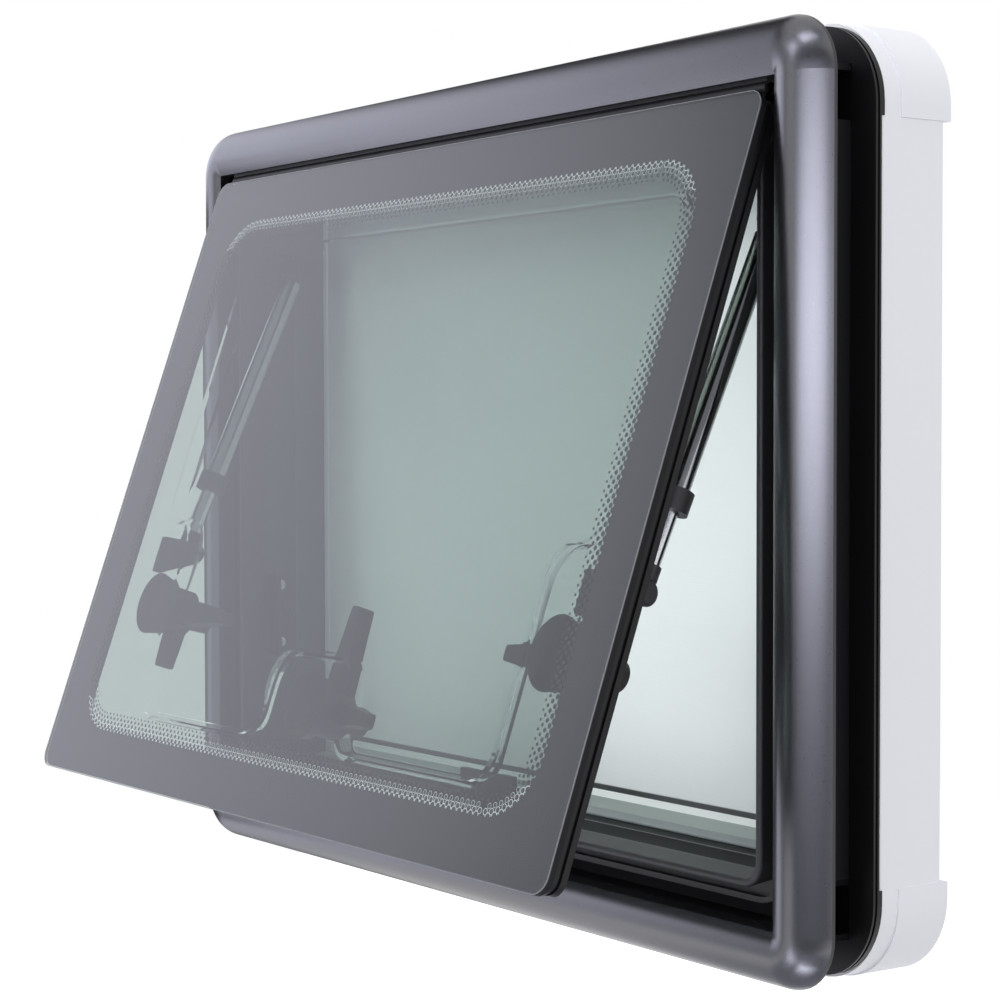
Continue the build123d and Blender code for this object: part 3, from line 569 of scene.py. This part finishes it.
# Stays: a bright drawn tube with a black eye and collar, and a bright rod that slides in it and has
# a black eye of its own. The eyes turn on the brackets' pins.
drawn_metal = grained(
    "drawn_metal", (0.60, 0.61, 0.62), (0.68, 0.69, 0.70), 0.14, 0.10, 1400.0, 0.01, Metallic=1.0
)
tube_metal = grained(
    "tube_metal", (0.40, 0.41, 0.40), (0.46, 0.47, 0.46), 0.10, 0.08, 1400.0, 0.01, Metallic=1.0
)
for side in ("left", "right"):
    dress(tube_metal, f"stay_tube_{side}")
    dress(drawn_metal, f"stay_rod_{side}")
    dress(latch_plastic, f"stay_eye_{side}", f"stay_collar_{side}", f"rod_eye_{side}")


# Striker screws: bright steel pan heads with a cross recess, two through each striker plate into
# the liner.
SCREW_R = 0.0036
SCREW_SIDES = 20
HEAD_RINGS = ((1.0, 0.0), (1.0, 0.0006), (0.92, 0.0012), (0.72, 0.0016))
CROSS_W = 0.0005
CROSS_L = 0.0018
CROSS_DEPTH = 0.0009
head_top = HEAD_RINGS[-1][1]
CROSS_ARM = ((CROSS_L, -CROSS_W), (CROSS_L, CROSS_W), (CROSS_W, CROSS_W))
CROSS = [
    Matrix.Rotation(quarter * pi / 2, 3, "Z") @ Vector((*point, head_top))
    for quarter in range(4)
    for point in CROSS_ARM
]


def pan_screw(bm, place):
    """A pan head on its own Z axis, moved to its place."""
    before = len(bm.verts)
    loops = []
    for share, height in HEAD_RINGS:
        lift = Matrix.Translation((0, 0, height))
        circle = bmesh.ops.create_circle(
            bm, segments=SCREW_SIDES, radius=SCREW_R * share, matrix=lift
        )
        loops.append(list({edge for vert in circle["verts"] for edge in vert.link_edges}))
    for first, second in zip(loops, loops[1:]):
        bmesh.ops.bridge_loops(bm, edges=first + second)
    points = [bm.verts.new(point) for point in CROSS]
    recess = [bm.edges.new(pair) for pair in zip(points, points[1:] + points[:1])]
    bmesh.ops.triangle_fill(bm, use_beauty=True, edges=loops[-1] + recess)
    sunk = bmesh.ops.extrude_edge_only(bm, edges=recess)["geom"]
    floor_verts = [item for item in sunk if isinstance(item, bmesh.types.BMVert)]
    floor_edges = [item for item in sunk if isinstance(item, bmesh.types.BMEdge)]
    bmesh.ops.translate(bm, vec=(0, 0, -CROSS_DEPTH), verts=floor_verts)
    bmesh.ops.triangle_fill(bm, use_beauty=True, edges=floor_edges)
    bm.verts.ensure_lookup_table()
    bmesh.ops.transform(bm, matrix=place, verts=bm.verts[before:])


striker_low, striker_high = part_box("strikers")
STRIKER_T = 0.002
STRIKER_HALF = 0.028
SCREW_HALF = 0.0198
striker_y = (striker_low.y + striker_high.y) / 2
striker_z = striker_high.z - STRIKER_HALF
bm = bmesh.new()
for step in (-SCREW_HALF, SCREW_HALF):
    left = Matrix.Translation((striker_low.x + STRIKER_T, striker_y, striker_z + step))
    pan_screw(bm, left @ Matrix.Rotation(pi / 2, 4, "Y"))
    right = Matrix.Translation((striker_high.x - STRIKER_T, striker_y, striker_z + step))
    pan_screw(bm, right @ Matrix.Rotation(-pi / 2, 4, "Y"))
    pan_screw(bm, Matrix.Translation((step, striker_y, striker_low.z + STRIKER_T)))
bmesh.ops.recalc_face_normals(bm, faces=bm.faces)
new_piece("striker_screws", bm, drawn_metal)


# Stage: a pale floor well below the window, a white surround, soft lights and the camera
# at the photograph's viewpoint.
def background_share(nodes, links):
    """1 for camera, glossy and transmission rays, which see the plain white background."""
    rays = nodes.new("ShaderNodeLightPath")
    first = nodes.new("ShaderNodeMath")
    first.operation = "MAXIMUM"
    both = nodes.new("ShaderNodeMath")
    both.operation = "MAXIMUM"
    links.new(rays.outputs["Is Camera Ray"], first.inputs[0])
    links.new(rays.outputs["Is Glossy Ray"], first.inputs[1])
    links.new(first.outputs["Value"], both.inputs[0])
    links.new(rays.outputs["Is Transmission Ray"], both.inputs[1])
    return both.outputs["Value"]


AMBIENT = 0.55
world = bpy.data.worlds.new("studio")
bpy.context.scene.world = world
world.use_nodes = True
nodes, links = world.node_tree.nodes, world.node_tree.links
strength = nodes.new("ShaderNodeMapRange")
strength.inputs["To Min"].default_value = AMBIENT
strength.inputs["To Max"].default_value = 1.0
links.new(background_share(nodes, links), strength.inputs["Value"])
links.new(strength.outputs["Result"], nodes["Background"].inputs["Strength"])
nodes["Background"].inputs["Color"].default_value = (1.0, 1.0, 1.0, 1.0)

FLOOR_Z = -2.6
bm = bmesh.new()
bmesh.ops.create_grid(bm, x_segments=1, y_segments=1, size=12.0)
bmesh.ops.translate(bm, vec=(0, 0, FLOOR_Z), verts=bm.verts)
floor_mesh = bpy.data.meshes.new("floor")
bm.to_mesh(floor_mesh)
bm.free()
floor = bpy.data.objects.new("floor", floor_mesh)
bpy.context.scene.collection.objects.link(floor)
paper = bpy.data.materials.new("floor_paper")
paper.use_nodes = True
nodes, links = paper.node_tree.nodes, paper.node_tree.links
nodes["Principled BSDF"].inputs["Base Color"].default_value = (0.85, 0.85, 0.85, 1.0)
nodes["Principled BSDF"].inputs["Roughness"].default_value = 0.9
nodes["Principled BSDF"].inputs["Emission Color"].default_value = (1.0, 1.0, 1.0, 1.0)
FLOOR_GLOW = 0.8
glow = nodes.new("ShaderNodeMath")
glow.operation = "MULTIPLY"
glow.inputs[1].default_value = FLOOR_GLOW
links.new(background_share(nodes, links), glow.inputs[0])
links.new(glow.outputs["Value"], nodes["Principled BSDF"].inputs["Emission Strength"])
floor_mesh.materials.append(paper)


def soft_light(name, place, target, width, height, power):
    """A rectangular soft box that neither the camera nor a reflection sees."""
    data = bpy.data.lights.new(name, "AREA")
    data.shape = "RECTANGLE"
    data.size = width
    data.size_y = height
    data.energy = power
    lamp = bpy.data.objects.new(name, data)
    lamp.location = place
    lamp.rotation_euler = (Vector(target) - Vector(place)).to_track_quat("-Z", "Y").to_euler()
    lamp.visible_camera = False
    lamp.visible_glossy = False
    bpy.context.scene.collection.objects.link(lamp)


soft_light("key_box", (-1.75, -1.05, 0.75), (0.0, -0.08, 0.0), 2.4, 1.8, 25.0)
soft_light("front_box", (0.3, -3.0, 0.6), (0.0, 0.0, 0.0), 2.0, 2.0, 36.0)
soft_light("top_box", (0.2, -0.9, 2.0), (0.1, 0.0, 0.0), 1.4, 0.9, 16.0)
soft_light("right_box", (2.6, 0.7, 0.9), (0.2, 0.0, 0.0), 1.4, 1.4, 18.0)


# Cards: stage cards that light nothing and are seen only in reflections: a broad white one on the
# left, a dark one beside it, a grey one below, a long light behind the camera, and two pairs of
# strips above and below the front. The last one, black, is seen only through the glass.
CARD_COLOUR = (0.93, 0.94, 1.07, 1.0)


def studio_card(name, middle, turn, low, high, reach, peak, edge):
    """A card from low to high about its middle. Its glow falls from the middle to its edge value."""
    bm = bmesh.new()
    corners = (low, (high[0], low[1]), high, (low[0], high[1]))
    bm.faces.new([bm.verts.new((x, y, 0.0)) for x, y in corners])
    mesh = bpy.data.meshes.new(name)
    bm.to_mesh(mesh)
    bm.free()
    card = bpy.data.objects.new(name, mesh)
    card.location = middle
    card.rotation_euler = turn
    bpy.context.scene.collection.objects.link(card)
    for rays in ("camera", "diffuse", "transmission", "shadow"):
        setattr(card, f"visible_{rays}", False)
    material = bpy.data.materials.new(name)
    material.use_nodes = True
    nodes, links = material.node_tree.nodes, material.node_tree.links
    shader = nodes["Principled BSDF"]
    shader.inputs["Base Color"].default_value = (0.0, 0.0, 0.0, 1.0)
    shader.inputs["Roughness"].default_value = 1.0
    shader.inputs["Specular IOR Level"].default_value = 0.0
    shader.inputs["Emission Color"].default_value = CARD_COLOUR
    spot = nodes.new("ShaderNodeTexCoord")
    scaled = nodes.new("ShaderNodeVectorMath")
    scaled.operation = "DIVIDE"
    scaled.inputs[1].default_value = (*reach, 1.0)
    square = nodes.new("ShaderNodeVectorMath")
    square.operation = "DOT_PRODUCT"
    steep = nodes.new("ShaderNodeMath")
    steep.operation = "MULTIPLY"
    fall = nodes.new("ShaderNodeMath")
    fall.operation = "POWER"
    fall.inputs[0].default_value = exp(-1.0)
    lift = nodes.new("ShaderNodeMath")
    lift.operation = "MULTIPLY_ADD"
    lift.inputs[1].default_value = peak
    lift.inputs[2].default_value = edge
    links.new(spot.outputs["Object"], scaled.inputs[0])
    links.new(scaled.outputs["Vector"], square.inputs[0])
    links.new(scaled.outputs["Vector"], square.inputs[1])
    links.new(square.outputs["Value"], steep.inputs[0])
    links.new(square.outputs["Value"], steep.inputs[1])
    links.new(steep.outputs["Value"], fall.inputs[1])
    links.new(fall.outputs["Value"], lift.inputs[0])
    links.new(lift.outputs["Value"], shader.inputs["Emission Strength"])
    mesh.materials.append(material)
    return card


FACING_RIGHT = (pi / 2, 0.0, pi / 2)
FACING_UP = (0.0, 0.0, 0.0)
BEHIND_CAMERA = (pi / 2, 0.0, pi / 4)
EVEN = (1.0, 1.0)
studio_card(
    "side_card", (-1.0, -0.42, 0.15), FACING_RIGHT, (-1.08, -0.9), (1.22, 1.85), (0.74, 1.1), 2.1, 0.05
)
studio_card(
    "wall_card", (-0.9, 0.15, -0.12), FACING_RIGHT, (-0.45, -0.38), (0.45, 0.38), EVEN, 0.0, 0.03
)
studio_card("low_card", (0.0, -0.8, -1.22), FACING_UP, (-1.0, -1.6), (1.6, 1.4), EVEN, 0.0, 0.6)
studio_card(
    "strip_card", (1.36, -1.06, 0.17), BEHIND_CAMERA, (-2.2, -1.3), (2.2, 1.9), (1.9, 0.2), 7.8, 0.25
)
CORNER_YAW = 1.088
CORNER_HALF = (0.9, 0.3)
FRONT_HALF = (0.6, 0.3)
for height in (-1.2, 1.2):
    studio_card(
        "corner_card",
        (0.40, -0.66, height),
        (0.0, 0.0, CORNER_YAW),
        (-CORNER_HALF[0], -CORNER_HALF[1]),
        CORNER_HALF,
        (0.62, 0.13),
        8.0,
        0.4,
    )
    start = Vector((-0.35, -1.42, 0.62 * height))
    front = Vector((0.30, -0.92, 0.95 * height)) - start
    studio_card(
        "front_card",
        start + front / 2,
        front.to_track_quat("X", "Z").to_euler(),
        (-FRONT_HALF[0], -FRONT_HALF[1]),
        FRONT_HALF,
        (0.42, 0.12),
        7.0,
        0.4,
    )
shade_card = studio_card(
    "shade_card", (-1.0, -0.84, 0.35), FACING_RIGHT, (-0.55, -1.05), (0.55, 1.05), EVEN, 0.0, 0.0
)
shade_card.visible_glossy = False
shade_card.visible_transmission = True

CAMERA_PLACE = (1.21010, -0.81781, 0.03686)
CAMERA_YAW = 0.96524267
CAMERA_PITCH = -0.03343527
CAMERA_ROLL = -0.00177375
FOCAL_PX = 2431.712
CENTRE_Y_PX = 513.73
IMAGE_PX = 1000.0
SENSOR_MM = 36.0
lens = bpy.data.cameras.new("camera")
lens.sensor_width = SENSOR_MM
lens.lens = FOCAL_PX / IMAGE_PX * SENSOR_MM
lens.shift_y = (CENTRE_Y_PX - IMAGE_PX / 2) / IMAGE_PX
lens.clip_start = 0.01
camera = bpy.data.objects.new("camera", lens)
turn = Matrix.Rotation(CAMERA_YAW, 4, "Z") @ Matrix.Rotation(pi / 2 + CAMERA_PITCH, 4, "X")
camera.matrix_world = Matrix.Translation(CAMERA_PLACE) @ turn @ Matrix.Rotation(CAMERA_ROLL, 4, "Z")
bpy.context.scene.collection.objects.link(camera)
bpy.context.scene.camera = camera
bpy.context.scene.view_settings.view_transform = "Standard"
